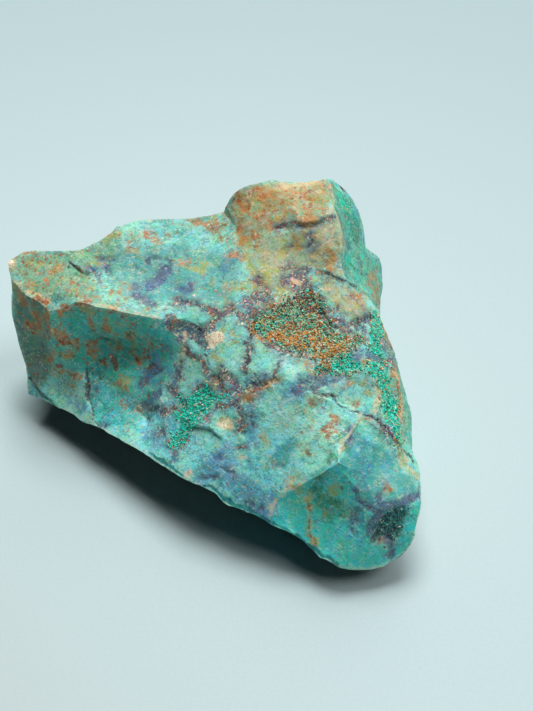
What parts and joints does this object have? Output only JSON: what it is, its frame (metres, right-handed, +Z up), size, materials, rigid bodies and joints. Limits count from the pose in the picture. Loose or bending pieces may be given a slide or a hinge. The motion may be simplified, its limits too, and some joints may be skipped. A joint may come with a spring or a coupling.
{
  "type": "shattuckite specimen",
  "caption": "Palm-sized wedge of broken shattuckite rock with sharp break edges, an undercut front and a flat underside it rests on.",
  "frame": {"origin": "on the ground, under the middle of the specimen's bounding box", "axes": "+X along the longest extent towards the front lobe and the steep right wall, +Y away from the undercut front edge, +Z up from the resting face"},
  "size_m": [0.1094, 0.099, 0.0595],
  "materials": {
    "rock": "rough broken stone, blue-green with rust, violet and brown patches"
  },
  "bodies": {
    "root": {"rock": "rock"}
  },
  "joints": []
}
